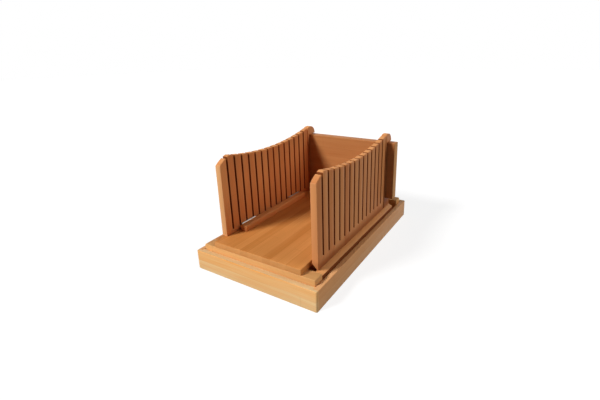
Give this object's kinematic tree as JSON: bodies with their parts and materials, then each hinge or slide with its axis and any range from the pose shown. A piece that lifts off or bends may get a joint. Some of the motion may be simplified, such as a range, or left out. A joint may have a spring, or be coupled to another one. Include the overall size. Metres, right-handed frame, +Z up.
{
  "type": "bread slicer guide",
  "caption": "Folding wooden bread slicing guide: slotted side walls with scooped tops stand on a deck over a lift-off crumb tray, with a slide-out end panel.",
  "frame": {"origin": "middle of the tray's footprint, on the table", "axes": "+Z up, +X to the right seen from the open end, +Y from the open end to the back panel"},
  "size_m": [0.232, 0.37, 0.1919],
  "materials": {
    "deck_bamboo": "satin oiled bamboo, darker caramel strips",
    "rail_bamboo": "satin oiled bamboo, light honey",
    "wall_bamboo": "satin oiled bamboo, vertical strips",
    "tray_bamboo": "satin oiled bamboo, light honey",
    "panel_bamboo": "satin oiled bamboo, horizontal strips",
    "dowel_wood": "plain birch",
    "hinge_steel": "satin steel",
    "screw_steel": "satin steel"
  },
  "bodies": {
    "tray": {"tray_front_wall": "tray_bamboo", "tray_rear_wall": "tray_bamboo", "tray_left_wall": "tray_bamboo", "tray_right_wall": "tray_bamboo", "tray_floor": "tray_bamboo"},
    "guide": {"front_rail": "rail_bamboo", "rear_rail": "rail_bamboo", "cross_rail": "rail_bamboo", "left_side_strip": "rail_bamboo", "right_side_strip": "rail_bamboo", "deck_board": "deck_bamboo", "deck_dowels": "dowel_wood", "left_hinge_cleat": "rail_bamboo", "left_end_post": "wall_bamboo", "right_end_post": "wall_bamboo", "left_hinge_fixed_leaves": "hinge_steel", "left_hinge_pins": "hinge_steel", "left_hinge_fixed_screws": "screw_steel", "right_hinge_fixed_leaves": "hinge_steel", "right_hinge_pins": "hinge_steel", "right_hinge_fixed_screws": "screw_steel"},
    "left_wall": {"left_slotted_wall": "wall_bamboo", "left_hinge_wall_leaves": "hinge_steel", "left_hinge_wall_screws": "screw_steel"},
    "right_wall": {"right_slotted_wall": "wall_bamboo", "right_hinge_wall_leaves": "hinge_steel", "right_hinge_wall_screws": "screw_steel"},
    "back_panel": {"back_panel": "panel_bamboo"}
  },
  "joints": [
    {"name": "guide_lift", "type": "slide", "parent": "tray", "child": "guide", "axis": [0, 0, 1], "range_m": [0, 0.06]},
    {"name": "left_wall_fold", "type": "hinge", "parent": "guide", "child": "left_wall", "pos_m": [-0.07575, 0, 0.0607], "axis": [0, 1, 0], "range_deg": [0, 90]},
    {"name": "right_wall_fold", "type": "hinge", "parent": "guide", "child": "right_wall", "pos_m": [0.08575, 0, 0.0502], "axis": [0, -1, 0], "range_deg": [0, 90]},
    {"name": "back_panel_draw", "type": "slide", "parent": "guide", "child": "back_panel", "axis": [0, 1, 0], "range_m": [0, 0.045]}
  ]
}
